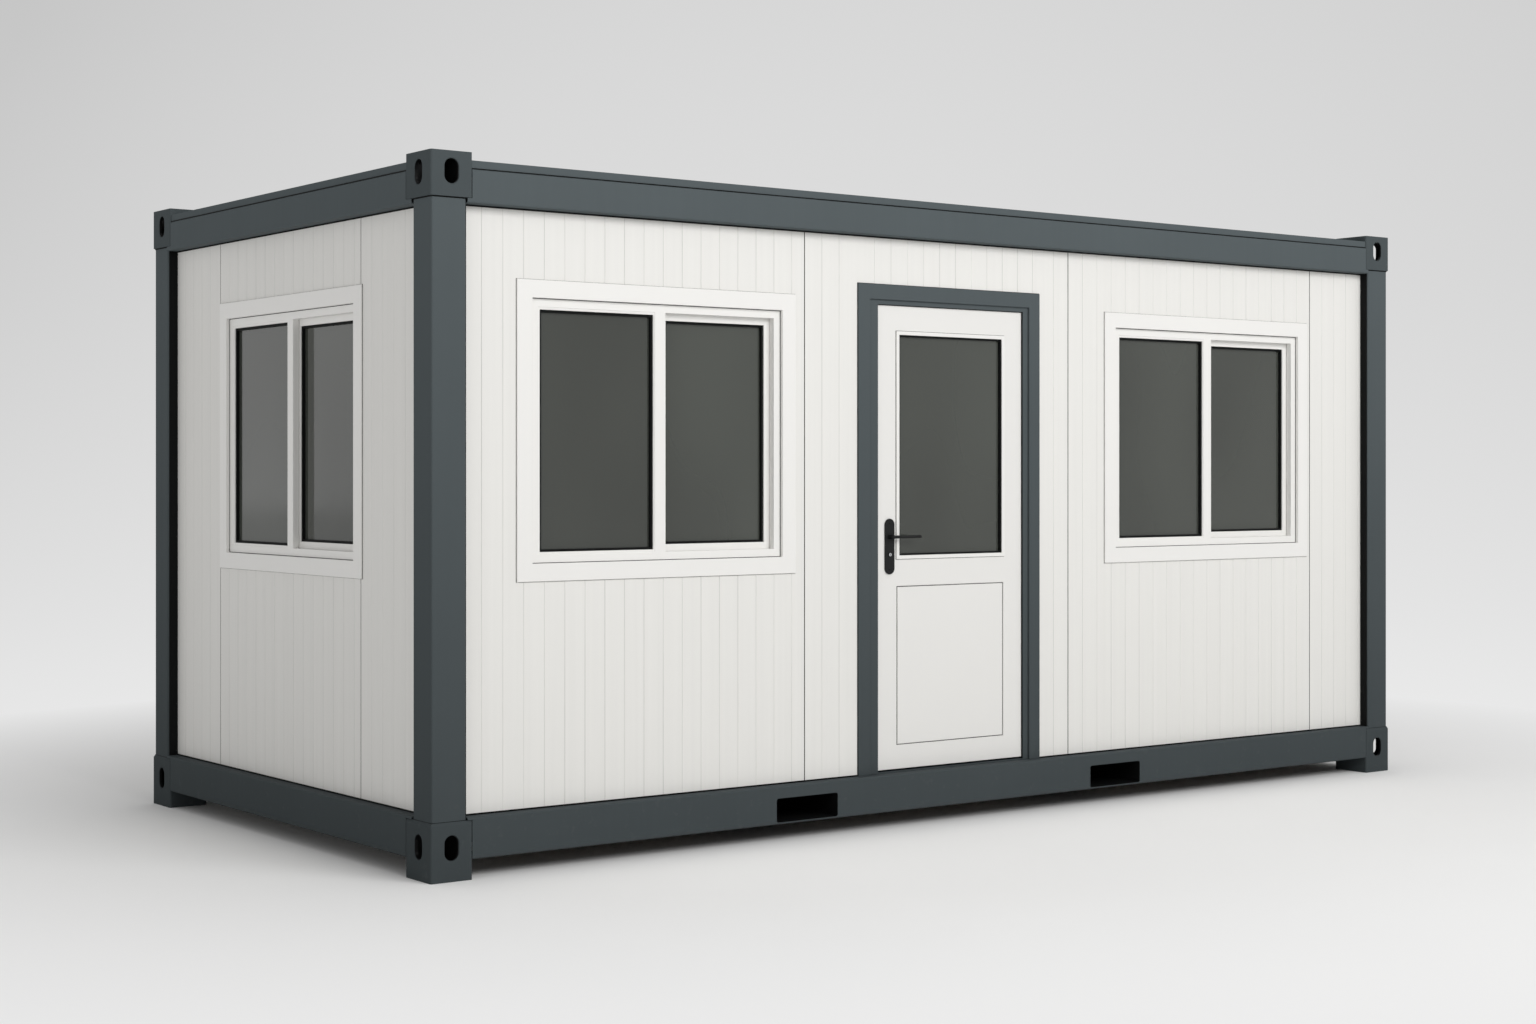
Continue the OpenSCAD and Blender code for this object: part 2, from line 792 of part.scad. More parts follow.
// A plate with a raised keyhole on one face of the leaf; s is -1 outside and 1 inside
module handle_plate(face, s) {
    h = plate_z1 - plate_z0;
    key_w = 2.5;
    key_h = 9;
    translate([lever_x, face, plate_z0 + h / 2]) rotate([-90 * s, 0, 0])
        linear_extrude(plate_t) rotate(90) slot_2d(h, plate_w);
    translate([lever_x, face, keyhole_z]) rotate([-90 * s, 0, 0]) difference() {
        cylinder(r = keyhole_r, h = plate_t + keyhole_out);
        translate([-key_w / 2, -key_h / 2, plate_t])
            cube([key_w, key_h, keyhole_out + 1]);
    }
}

module handle_plates() {
    color(hardware_black) at_door() difference() {
        union() {
            handle_plate(leaf_set, -1);
            handle_plate(leaf_back, 1);
        }
        translate([lever_x, 0, lever_z]) rotate([-90, 0, 0]) cylinder(r = neck_r + neck_run, h = 200);
    }
}

// A grip from its neck at y0 (leaf side) to y1 (outer end); s is -1 outside and 1 inside
module grip(face, s) {
    reach = lever_out - plate_t;
    translate([0, face, 0]) rotate([-90 * s, 0, 0]) {
        translate([0, 0, -plate_t]) cylinder(r = neck_r, h = plate_t + reach - grip_t / 2);
        translate([0, 0, reach - grip_t / 2]) rotate([0, 90, 0]) {
            cylinder(d = grip_t, h = lever_l - grip_t / 2);
            sphere(d = grip_t);
            translate([0, 0, lever_l - grip_t / 2]) sphere(d = grip_t);
        }
    }
}

module door_lever() {
    color(hardware_black) at_door() translate([lever_x, 0, lever_z]) {
        translate([0, leaf_set - plate_t, 0]) rotate([-90, 0, 0])
            cylinder(r = spindle_r, h = leaf_t + 2 * plate_t);
        grip(leaf_set - plate_t, -1);
        grip(leaf_back + plate_t, 1);
    }
}

bottom_castings();
top_castings();
front_left_post();
front_right_post();
back_left_post();
back_right_post();
front_bottom_rail();
back_bottom_rail();
left_bottom_rail();
right_bottom_rail();
front_top_rail();
back_top_rail();
left_top_rail();
right_top_rail();
fork_pockets();
floor_joists();
floor_deck();
roof_sheet();
roof_edge();
ceiling();
front_wall_left();
door_wall_left();
door_wall_over();
door_wall_right();
front_wall_right();
front_wall_end();
left_wall();
right_wall();
back_wall();
front_left_window();
front_right_window();
left_window();
right_window();
window_sashes();
window_seals();
window_glass();
wall_strips();
door_frame();
frame_hinges();
door_leaf();
door_glass();
door_bead();
door_hinges();
handle_plates();
door_lever();
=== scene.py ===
import json
import math
import bmesh
import bpy
from mathutils import Matrix, Vector


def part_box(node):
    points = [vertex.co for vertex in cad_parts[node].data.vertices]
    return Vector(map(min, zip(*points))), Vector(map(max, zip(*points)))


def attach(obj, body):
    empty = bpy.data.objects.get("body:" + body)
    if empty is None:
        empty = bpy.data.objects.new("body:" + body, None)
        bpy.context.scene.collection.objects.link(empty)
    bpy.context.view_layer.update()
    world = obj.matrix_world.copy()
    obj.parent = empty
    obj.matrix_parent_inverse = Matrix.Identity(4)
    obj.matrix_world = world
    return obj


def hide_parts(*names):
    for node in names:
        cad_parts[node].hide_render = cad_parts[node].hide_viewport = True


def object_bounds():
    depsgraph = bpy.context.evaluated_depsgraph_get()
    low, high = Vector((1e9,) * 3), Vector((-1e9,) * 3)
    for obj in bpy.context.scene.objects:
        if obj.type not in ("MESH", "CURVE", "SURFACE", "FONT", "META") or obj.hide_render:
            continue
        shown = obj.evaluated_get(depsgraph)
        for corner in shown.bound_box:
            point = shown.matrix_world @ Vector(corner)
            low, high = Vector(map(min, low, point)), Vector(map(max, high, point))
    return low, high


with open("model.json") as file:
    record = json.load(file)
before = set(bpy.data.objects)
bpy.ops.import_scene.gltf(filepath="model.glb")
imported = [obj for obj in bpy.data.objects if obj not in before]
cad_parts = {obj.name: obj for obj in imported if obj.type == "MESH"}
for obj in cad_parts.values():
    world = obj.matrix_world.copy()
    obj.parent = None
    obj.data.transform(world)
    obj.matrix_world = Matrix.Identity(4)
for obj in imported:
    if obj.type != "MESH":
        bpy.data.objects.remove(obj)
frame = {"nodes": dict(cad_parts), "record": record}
cad_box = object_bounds()
record = frame["record"]
nodes = frame["nodes"]
scene = bpy.context.scene

WINDOWS = ("front_left_window", "front_right_window", "left_window", "right_window")
POSTS = ("front_left_post", "front_right_post", "back_left_post", "back_right_post")
CASTING_SIZE = (0.188, 0.212)    # length and width of a corner casting
PANEL_JOINT = 0.005              # open joint between two wall panels
END_SEAMS = (0.714, 2.147)       # joints of the end walls, from the front of the house
DOOR_GROOVE = (0.370, 1.100)     # foot and head of the groove in the door's lower panel
KEYHOLE_HEIGHT = 1.245
PLATE_THICK = 0.007              # handle plates
TRIM_WIDTH = 0.074               # flat trim round a window
FRAME_DEPTH = 0.068              # outside of the house to the face of a window frame
SASH_DEPTH = 0.127               # outside of the house to the back of a sliding sash
RIB_STEP = 0.25                  # from rib to rib of the roof sheet
PAINTED_LIGHT_HEIGHTS = (0.1, 2.85)         # heights between which painted light makes the steel's paint lighter upwards
BEDDED = 0.0005                  # how deep thin trim is bedded in what it lies on


# ---------- Shader node groups ----------

def start_group(name, inputs, outputs):
    """A new node group; inputs are (name, kind, default), outputs are (name, kind)."""
    tree = bpy.data.node_groups.new(name, "ShaderNodeTree")
    for label, kind, default in inputs:
        socket = tree.interface.new_socket(label, in_out="INPUT", socket_type="NodeSocket" + kind)
        socket.default_value = default
    for label, kind in outputs:
        tree.interface.new_socket(label, in_out="OUTPUT", socket_type="NodeSocket" + kind)
    return tree, tree.nodes.new("NodeGroupInput"), tree.nodes.new("NodeGroupOutput")


def add(tree, kind, settings=None, links=None, values=None):
    """One node with its settings, its linked inputs and its plain input values."""
    made = tree.nodes.new("ShaderNode" + kind)
    for key, value in (settings or {}).items():
        setattr(made, key, value)
    for key, value in (values or {}).items():
        made.inputs[key].default_value = value
    for key, source in (links or {}).items():
        tree.links.new(source, made.inputs[key])
    return made


def object_axes(tree):
    """The object coordinates split into X, Y and Z."""
    return add(tree, "SeparateXYZ", links={"Vector": add(tree, "TexCoord").outputs["Object"]}).outputs


def scaled_coords(tree, scale):
    """Object coordinates stretched by scale."""
    coords = add(tree, "TexCoord")
    moved = add(tree, "Mapping", links={"Vector": coords.outputs["Object"]}, values={"Scale": scale})
    return moved.outputs["Vector"]


def noise(tree, scale, detail=3.0, size=1.0, rough=0.55):
    """Factor output of a noise over the object."""
    made = add(tree, "TexNoise", links={"Vector": scaled_coords(tree, scale)},
               values={"Scale": size, "Detail": detail, "Roughness": rough})
    return made.outputs["Fac"]


def math_node(tree, operation, a, b=None, clamp=False):
    """One Math node; a and b are sockets or numbers."""
    made = add(tree, "Math", {"operation": operation, "use_clamp": clamp})
    for index, value in enumerate((a, b)):
        if value is None:
            continue
        if isinstance(value, (int, float)):
            made.inputs[index].default_value = value
        else:
            tree.links.new(value, made.inputs[index])
    return made.outputs[0]


def spread(tree, source, low, high, out_low=0.0, out_high=1.0, blend="LINEAR"):
    """Maps low..high of a mask to out_low..out_high, clamped."""
    made = add(tree, "MapRange", {"clamp": True, "interpolation_type": blend}, {"Value": source},
               {"From Min": low, "From Max": high, "To Min": out_low, "To Max": out_high})
    return made.outputs["Result"]


def swing(tree, mask, strength):
    """How far a mask swings about its middle, times a strength."""
    return math_node(tree, "MULTIPLY", math_node(tree, "SUBTRACT", mask, 0.5), strength)


def shade(tree, colour, factor):
    """Colour times a grey factor."""
    made = add(tree, "VectorMath", {"operation": "SCALE"}, {0: colour, "Scale": factor})
    return made.outputs["Vector"]


def toned(tree, colour, factor):
    """A plain colour times a grey factor."""
    base = add(tree, "RGB")
    base.outputs[0].default_value = (*colour, 1)
    return shade(tree, base.outputs[0], factor)


def build_coated_metal():
    """Painted sheet: cloudy and streaky tone, fine orange peel, uneven gloss."""
    tree, given, result = start_group(
        "coated_metal",
        [("Color", "Color", (0.8, 0.8, 0.8, 1)), ("Cloud", "Float", 0.03), ("Streak", "Float", 0.03),
         ("Gloss", "Float", 0.45), ("Gloss Spread", "Float", 0.08)],
        [("Color", "Color"), ("Roughness", "Float"), ("Height", "Float")])
    cloud = noise(tree, (1, 1, 1), 4.0, 2.3)
    streak = noise(tree, (34, 34, 0.5), 3.0, 1.0)
    patch = noise(tree, (1, 1, 0.6), 3.0, 5.0)
    peel = noise(tree, (1, 1, 1), 2.0, 420.0)
    tone = math_node(tree, "ADD", swing(tree, cloud, given.outputs["Cloud"]),
                     swing(tree, streak, given.outputs["Streak"]))
    tone = math_node(tree, "ADD", tone, 1.0)
    gloss = math_node(tree, "ADD", given.outputs["Gloss"],
                      swing(tree, patch, given.outputs["Gloss Spread"]), True)
    tree.links.new(shade(tree, given.outputs["Color"], tone), result.inputs["Color"])
    tree.links.new(gloss, result.inputs["Roughness"])
    tree.links.new(peel, result.inputs["Height"])
    return tree


def build_edge_wear():
    """Lightens a colour in small patches, more of it near the ground."""
    tree, given, result = start_group(
        "edge_wear",
        [("Color", "Color", (0.1, 0.1, 0.1, 1)), ("Worn Color", "Color", (0.3, 0.3, 0.3, 1)),
         ("Amount", "Float", 0.1), ("Reach", "Float", 0.5)],
        [("Color", "Color"), ("Mask", "Float")])
    low = add(tree, "MapRange", {"clamp": True},
              {"Value": object_axes(tree)["Z"], "From Max": given.outputs["Reach"]},
              {"From Min": 0.0, "To Min": 1.0, "To Max": 0.0})
    mask = spread(tree, noise(tree, (1, 1, 1), 6.0, 26.0, 0.62), 0.60, 0.68)
    part = math_node(tree, "MULTIPLY", math_node(tree, "MULTIPLY", mask, low.outputs["Result"]),
                     given.outputs["Amount"], True)
    mixed = add(tree, "Mix", {"data_type": "RGBA"},
                {"Factor": part, 6: given.outputs["Color"], 7: given.outputs["Worn Color"]})
    tree.links.new(mixed.outputs[2], result.inputs["Color"])
    tree.links.new(part, result.inputs["Mask"])
    return tree


coated_metal = build_coated_metal()
edge_wear = build_edge_wear()


def place(tree, group, values=None, links=None):
    """A placed node group with its own values."""
    made = tree.nodes.new("ShaderNodeGroup")
    made.node_tree = group
    for key, value in (values or {}).items():
        made.inputs[key].default_value = value
    for key, source in (links or {}).items():
        tree.links.new(source, made.inputs[key])
    return made


# ---------- Finishes ----------

def new_material(name, **sockets):
    """A material with a Principled shader, its constants set on the shader."""
    material = bpy.data.materials.new(name)
    material.use_nodes = True
    shader = material.node_tree.nodes["Principled BSDF"]
    for key, value in sockets.items():
        shader.inputs[key.replace("_", " ")].default_value = value
    return material, material.node_tree, shader


def bump(tree, shader, height, distance):
    """A bump of a height in metres on a shader's normal."""
    made = add(tree, "Bump", links={"Height": height}, values={"Distance": distance, "Strength": 1.0})
    tree.links.new(made.outputs["Normal"], shader.inputs["Normal"])


def painted(name, colour, cloud, streak, gloss, gloss_spread=0.08, peel=0.00006, worn=None, painted_top_light=None,
            **sockets):
    """Painted or powder-coated metal. Worn is (colour, amount, reach) of rubbed patches; painted_top_light is
    the tone at the ground and at the roof, painted light that makes the paint lighter upwards."""
    material, tree, shader = new_material(name, **sockets)
    coat = place(tree, coated_metal, {"Color": (*colour, 1), "Cloud": cloud, "Streak": streak,
                                      "Gloss": gloss, "Gloss Spread": gloss_spread})
    colour_out = coat.outputs["Color"]
    if worn:
        wear = place(tree, edge_wear, {"Worn Color": (*worn[0], 1), "Amount": worn[1], "Reach": worn[2]},
                     {"Color": colour_out})
        colour_out = wear.outputs["Color"]
    # painted light: the colour gets lighter from the ground up to the roof, as if lit from above
    if painted_top_light:
        colour_out = shade(tree, colour_out, spread(tree, object_axes(tree)["Z"], *PAINTED_LIGHT_HEIGHTS, *painted_top_light))
    tree.links.new(colour_out, shader.inputs["Base Color"])
    tree.links.new(coat.outputs["Roughness"], shader.inputs["Roughness"])
    bump(tree, shader, coat.outputs["Height"], peel)
    return material


def paint_groove_shade(material, faces):
    """Painted shade, patchy, in whatever lies just under the wall faces at +-X and +-Y: grooves and joint
    edges.
    """
    shallow, deep = 0.0002, 0.0020
    tree = material.node_tree
    paint = tree.nodes["Principled BSDF"].inputs["Base Color"]
    axes = object_axes(tree)
    sunk = 0.0
    for axis, face in zip("XY", faces):
        depth = math_node(tree, "SUBTRACT", face, math_node(tree, "ABSOLUTE", axes[axis]))
        near = add(tree, "Math", {"operation": "COMPARE"}, {0: depth},
                   {1: (deep + shallow) / 2, 2: (deep - shallow) / 2})
        sunk = math_node(tree, "MAXIMUM", near.outputs[0], sunk)
    # painted shade: recessed faces get darker in patches
    groove_shade = spread(tree, noise(tree, (5, 5, 0.6), 2.0), 0.35, 0.65, 0.20, 0.03)
    kept = math_node(tree, "SUBTRACT", 1.0, math_node(tree, "MULTIPLY", sunk, groove_shade))
    tree.links.new(shade(tree, paint.links[0].from_socket, kept), paint)


def tinted_glass(name, colour, clear):
    """Dark glass with a faint unevenness of its surface."""
    material, tree, shader = new_material(name, Transmission_Weight=clear, IOR=1.5, Metallic=0.0)
    haze = noise(tree, (1, 1, 0.6), 1.0, 1.3)
    smudge = noise(tree, (1, 1, 1), 3.0, 9.0)
    tree.links.new(toned(tree, colour, spread(tree, haze, 0.2, 0.8, 0.80, 1.20, "SMOOTHSTEP")),
                   shader.inputs["Base Color"])
    tree.links.new(spread(tree, smudge, 0.2, 0.8, 0.06, 0.10, "SMOOTHSTEP"), shader.inputs["Roughness"])
    return material


def matt_rubber(name, colour):
    """Dull black rubber with a fine grain."""
    material, tree, shader = new_material(name, Metallic=0.0, Specular_IOR_Level=0.1)
    grain = noise(tree, (1, 1, 1), 3.0, 300.0)
    tree.links.new(toned(tree, colour, spread(tree, grain, 0.3, 0.7, 0.85, 1.15)),
                   shader.inputs["Base Color"])
    tree.links.new(spread(tree, grain, 0.2, 0.8, 0.62, 0.78), shader.inputs["Roughness"])
    bump(tree, shader, grain, 0.0002)
    return material


def brushed_steel(name, colour):
    """Bare steel with fine upright brush lines."""
    material, tree, shader = new_material(name, Metallic=1.0)
    brush = noise(tree, (1200, 1200, 20), 2.0, 1.0)
    tree.links.new(toned(tree, colour, spread(tree, brush, 0.3, 0.7, 0.9, 1.1)),
                   shader.inputs["Base Color"])
    tree.links.new(spread(tree, brush, 0.3, 0.7, 0.28, 0.42), shader.inputs["Roughness"])
    bump(tree, shader, brush, 0.00005)
    return material


def floor_sheet(name):
    """Hard floor covering with a quiet wood grain in boards."""
    material, tree, shader = new_material(name, Metallic=0.0)
    boards = add(tree, "TexBrick", {"offset": 0.5, "squash": 1.0}, {"Vector": scaled_coords(tree, (1, 1, 1))},
                 {"Color1": (0.30, 0.235, 0.165, 1), "Color2": (0.36, 0.285, 0.205, 1),
                  "Mortar": (0.12, 0.09, 0.06, 1), "Scale": 1.0, "Mortar Size": 0.0018,
                  "Brick Width": 1.2, "Row Height": 0.18})
    grain = noise(tree, (2.5, 60, 60), 5.0, 1.0, 0.6)
    tree.links.new(shade(tree, boards.outputs["Color"], spread(tree, grain, 0.25, 0.75, 0.8, 1.15)),
                   shader.inputs["Base Color"])
    tree.links.new(spread(tree, grain, 0.2, 0.8, 0.42, 0.6), shader.inputs["Roughness"])
    bump(tree, shader, grain, 0.0002)
    return material


rubbed = ((0.12, 0.13, 0.13), 0.25, 0.5)
# painted_top_light: painted light, the steel lighter towards the roof
frame_paint = painted("frame_paint", (0.0715, 0.0840, 0.0885), cloud=0.10, streak=0.06, gloss=0.50,
                      gloss_spread=0.10, peel=0.00008, worn=rubbed, painted_top_light=(0.83, 1.30),
                      Specular_IOR_Level=0.01)
casting_paint = painted("casting_paint", (0.0650, 0.0765, 0.0805), cloud=0.10, streak=0.04, gloss=0.54,
                        peel=0.00012, worn=rubbed, painted_top_light=(0.84, 1.12), Specular_IOR_Level=0.01)
panel_paint = painted("panel_paint", (0.785, 0.775, 0.745), cloud=0.012, streak=0.07, gloss=0.55)
paint_groove_shade(panel_paint, (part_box("right_wall")[1][0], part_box("back_wall")[1][1]))
lining_paint = painted("lining_paint", (0.80, 0.80, 0.78), cloud=0.012, streak=0.01, gloss=0.60)
roof_paint = painted("roof_paint", (0.72, 0.72, 0.70), cloud=0.05, streak=0.04, gloss=0.45)
door_paint = painted("door_paint", (0.785, 0.775, 0.75), cloud=0.012, streak=0.008, gloss=0.38)
trim_coat = painted("trim_coat", (0.83, 0.82, 0.795), cloud=0.012, streak=0.008, gloss=0.36)
satin_black = painted("satin_black", (0.006, 0.0063, 0.0066), cloud=0.10, streak=0.02, gloss=0.40,
                      Specular_IOR_Level=0.22)
window_tint = tinted_glass("window_tint", (0.088, 0.095, 0.083), 0.4)
seal_rubber = matt_rubber("seal_rubber", (0.0045, 0.005, 0.005))
plain_steel = brushed_steel("plain_steel", (0.58, 0.59, 0.60))
floor_cover = floor_sheet("floor_cover")

finish = {"steel_frame": frame_paint, "wall_panel": panel_paint, "inner_lining": lining_paint,
          "door_panel": door_paint, "window_trim": trim_coat, "glass": window_tint,
          "rubber_strip": seal_rubber, "floor": floor_cover, "roof": roof_paint,
          "bare_steel": plain_steel, "black_hardware": satin_black}
slot_of = {part["node"]: part["material_slot"] for part in record["subparts"]}
body_of = {node: body for body, members in record["behaviour"]["bodies"].items() for node in members}

for name, piece in nodes.items():
    piece.data.materials.clear()
    piece.data.materials.append(finish[slot_of[name]])


# ---------- Making pieces ----------

def weighted_normals(mesh, limit=50):
    """Smooths edges below the limit in degrees, with large faces kept flat."""
    near = math.cos(math.radians(limit))
    around = [[] for vertex in mesh.vertices]
    for polygon in mesh.polygons:
        polygon.use_smooth = True
        for vertex in polygon.vertices:
            around[vertex].append((polygon.normal.copy(), polygon.area))
    normals = [None] * len(mesh.loops)
    for polygon in mesh.polygons:
        for loop, vertex in zip(polygon.loop_indices, polygon.vertices):
            total = Vector((0, 0, 0))
            for normal, area in around[vertex]:
                if normal.dot(polygon.normal) > near:
                    total += normal * area
            normals[loop] = total.normalized() if total.length > 0 else polygon.normal.copy()
    mesh.normals_split_custom_set(normals)


def finish_piece(name, shape, body, slot):
    """Turns a bmesh into a named piece that rides on a body."""
    mesh = bpy.data.meshes.new(name)
    shape.to_mesh(mesh)
    shape.free()
    weighted_normals(mesh)
    piece = bpy.data.objects.new(name, mesh)
    scene.collection.objects.link(piece)
    mesh.materials.append(finish[slot])
    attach(piece, body)
    return piece


def middle_of(low, high):
    """The point halfway between two corners."""
    return [(a + b) / 2 for a, b in zip(low, high)]


def grown(rect, out):
    """A rectangle (x0, z0, x1, z1) made larger by out on every side."""
    return (rect[0] - out, rect[1] - out, rect[2] + out, rect[3] + out)


def round_edges(shape, edges, width):
    """Rounds edges of a shape in two steps."""
    bmesh.ops.bevel(shape, geom=edges, offset=width, offset_type="OFFSET", segments=2,
                    profile=0.5, affect="EDGES", clamp_overlap=True, material=-1)


def add_block(shape, low, high, ease=0.0):
    """A block between two corners, its edges rounded by ease."""
    size = [b - a for a, b in zip(low, high)]
    matrix = Matrix.Translation(middle_of(low, high)) @ Matrix.Diagonal((*size, 1))
    made = bmesh.ops.create_cube(shape, size=1.0, matrix=matrix)
    if ease:
        round_edges(shape, list({edge for vertex in made["verts"] for edge in vertex.link_edges}), ease)


def add_disc(shape, foot, direction, radius, height, top=1.0, sides=16):
    """A short cylinder or cone that stands on foot and points in a direction."""
    along = Vector(direction).normalized()
    turn = along.to_track_quat("Z", "Y").to_matrix().to_4x4()
    bmesh.ops.create_cone(shape, cap_ends=True, segments=sides, radius1=radius, radius2=radius * top,
                          depth=height, matrix=Matrix.Translation(Vector(foot) + along * height / 2) @ turn)


def add_screw(shape, foot, direction, radius):
    """A pan head with a flat washer under it."""
    along = Vector(direction).normalized()
    add_disc(shape, foot, along, radius * 1.35, radius * 0.25)
    add_disc(shape, Vector(foot) + along * radius * 0.25, along, radius, radius * 0.55, 0.72)


def add_hex_screw(shape, foot, direction, radius):
    """A six-sided head on a bonded washer."""
    along = Vector(direction).normalized()
    add_disc(shape, foot, along, radius * 1.7, radius * 0.4, 0.9, 12)
    add_disc(shape, Vector(foot) + along * radius * 0.4, along, radius, radius * 0.9, 1.0, 6)


def add_ring(shape, outer, inner, y0, y1):
    """A flat ring in XZ between two rectangles given as (x0, z0, x1, z1), from y0 to y1."""
    out, inn = ([shape.verts.new((rect[x], y0, rect[z])) for x, z in ((0, 1), (2, 1), (2, 3), (0, 3))]
                for rect in (outer, inner))
    loop = [shape.faces.new((out[i], out[(i + 1) % 4], inn[(i + 1) % 4], inn[i])) for i in range(4)]
    made = bmesh.ops.extrude_face_region(shape, geom=loop)
    moved = [item for item in made["geom"] if isinstance(item, bmesh.types.BMVert)]
    bmesh.ops.translate(shape, verts=moved, vec=(0, y1 - y0, 0))


def join(shape, part, matrix):
    """Moves a part by a matrix and adds it to a shape."""
    bmesh.ops.transform(part, matrix=matrix, verts=part.verts)
    mesh = bpy.data.meshes.new("part")
    part.to_mesh(mesh)
    part.free()
    shape.from_mesh(mesh)
    bpy.data.meshes.remove(mesh)


def tidy_faces(shape):
    """Welds what touches and turns the faces outwards."""
    bmesh.ops.remove_doubles(shape, verts=shape.verts, dist=0.00001)
    bmesh.ops.recalc_face_normals(shape, faces=shape.faces)


# ---------- Rounded edges and painted shade inside ---

def eased(node, width, limit=40):
    """A copy of a node with its outward edges rounded, shown in place of the node, which is hidden."""
    shape = bmesh.new()
    shape.from_mesh(nodes[node].data)
    bmesh.ops.remove_doubles(shape, verts=shape.verts, dist=0.00002)
    bmesh.ops.dissolve_limit(shape, angle_limit=math.radians(0.8), verts=shape.verts, edges=shape.edges)
    edges = [edge for edge in shape.edges if len(edge.link_faces) == 2 and edge.is_convex
             and edge.calc_face_angle() > math.radians(limit)]
    round_edges(shape, edges, width)
    piece = finish_piece(node + "_eased", shape, body_of[node], slot_of[node])
    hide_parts(node)
    return piece


# How far the outward edges of each node are rounded.
EASED = {"bottom_castings": 0.003, "top_castings": 0.003,
         "front_left_window": 0.0025, "front_right_window": 0.0025, "left_window": 0.0025,
         "right_window": 0.0025, "window_sashes": 0.002, "door_frame": 0.002,
         "door_leaf": 0.0015, "door_bead": 0.0015, "handle_plates": 0.0015, "fork_pockets": 0.001}
rounded = {name: eased(name, width) for name, width in EASED.items()}


def paint_inner_shade(name, hidden):
    """Black on the faces whose middle is hidden: painted shade deep inside a part."""
    mesh = rounded[name].data
    mesh.materials.append(satin_black)
    for polygon in mesh.polygons:
        if hidden(polygon.center):
            polygon.material_index = 1


def inside_casting(name, skin=0.004):
    """Tells whether a point lies deeper than the skin of a casting."""
    low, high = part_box(name)
    length, width = CASTING_SIZE

    def deep(point):
        x, y, z = point
        return min(high[0] - abs(x), abs(x) - high[0] + length, high[1] - abs(y),
                   abs(y) - high[1] + width, z - low[2], high[2] - z) > skin
    return deep


def inside_pocket(rim=0.006):
    """Tells whether a point lies behind the rim of a fork pocket's tube."""
    low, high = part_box("fork_pockets")
    return lambda point: low[1] + rim < point.y < high[1] - rim


# painted shade: the insides of the castings and fork pockets are coloured black
for name in ("bottom_castings", "top_castings"):
    rounded[name].data.materials[0] = casting_paint
    paint_inner_shade(name, inside_casting(name))
paint_inner_shade("fork_pockets", inside_pocket())


# ---------- Walls ----------

house_low, house_high = cad_box
wall_low, wall_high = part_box("front_wall_left")
seal_z = (wall_low[2], wall_high[2])
front_face = wall_low[1]
end_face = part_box("left_wall")[0][0]
wall_depth = front_face - house_low[1]
door_low, door_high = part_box("door_frame")
front_seams = [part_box(name)[0][0] for name in ("door_wall_left", "front_wall_right", "front_wall_end")]
end_seams = [house_low[1] + step for step in END_SEAMS]


def both_sides(a, b):
    """The stretch between two distances from the middle, on the negative side and on the positive one."""
    return sorted((-a, -b)), sorted((a, b))


def make_joint_seals():
    """Rubber in the open joints between the wall panels."""
    shape = bmesh.new()
    half = PANEL_JOINT / 2 - 0.0002
    front, back = 0.001, 0.013
    for x in front_seams:
        for y0, y1 in both_sides(-front_face - front, -front_face - back):
            add_block(shape, (x - half, y0, seal_z[0]), (x + half, y1, seal_z[1]))
    for y in end_seams:
        for x0, x1 in both_sides(-end_face - front, -end_face - back):
            add_block(shape, (x0, y - half, seal_z[0]), (x1, y + half, seal_z[1]))
    finish_piece("panel_joint_seals", shape, "house", "rubber_strip")


def make_skirting():
    """Low boards round the room, open at the door."""
    shape = bmesh.new()
    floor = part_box("floor_deck")[1][2]
    left_x, right_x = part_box("left_wall")[1][0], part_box("right_wall")[0][0]
    front_y, back_y = wall_high[1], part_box("back_wall")[0][1]
    thick, tall, ease = 0.012, 0.06, 0.002
    for x0, x1 in ((left_x, door_low[0]), (door_high[0], right_x)):
        add_block(shape, (x0, front_y, floor), (x1, front_y + thick, floor + tall), ease)
    add_block(shape, (left_x, back_y - thick, floor), (right_x, back_y, floor + tall), ease)
    for x0, x1 in ((left_x, left_x + thick), (right_x - thick, right_x)):
        add_block(shape, (x0, front_y + thick, floor), (x1, back_y - thick, floor + tall), ease)
    finish_piece("skirting", shape, "house", "window_trim")


def make_frame_shade_lines():
    """Thin dark lines under the roof's edge and where posts meet castings: painted shade, made as black
    strips.
    """
    shape = bmesh.new()
    edge_low, edge_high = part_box("roof_edge")
    half_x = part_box("roof_sheet")[1][0] + 0.002
    half_y = house_high[1] - CASTING_SIZE[1]
    foot, tall, out = edge_low[2], 0.004, 0.003
    for (y0, y1), (x0, x1) in zip(both_sides(edge_high[1] + out, edge_high[1] + BEDDED),
                                  both_sides(edge_high[0] + out, edge_high[0] + BEDDED)):
        add_block(shape, (-half_x, y0, foot), (half_x, y1, foot + tall))
        add_block(shape, (x0, -half_y, foot), (x1, half_y, foot + tall))
    proud, gap = 0.0006, 0.0002
    for name in POSTS:
        low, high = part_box(name)
        for z0, z1 in ((high[2] - 0.0055, high[2] - gap), (low[2] + gap, low[2] + 0.002)):
            add_block(shape, (low[0] - proud, low[1] - proud, z0), (high[0] + proud, high[1] + proud, z1))
    finish_piece("frame_shade_lines", shape, "house", "rubber_strip")


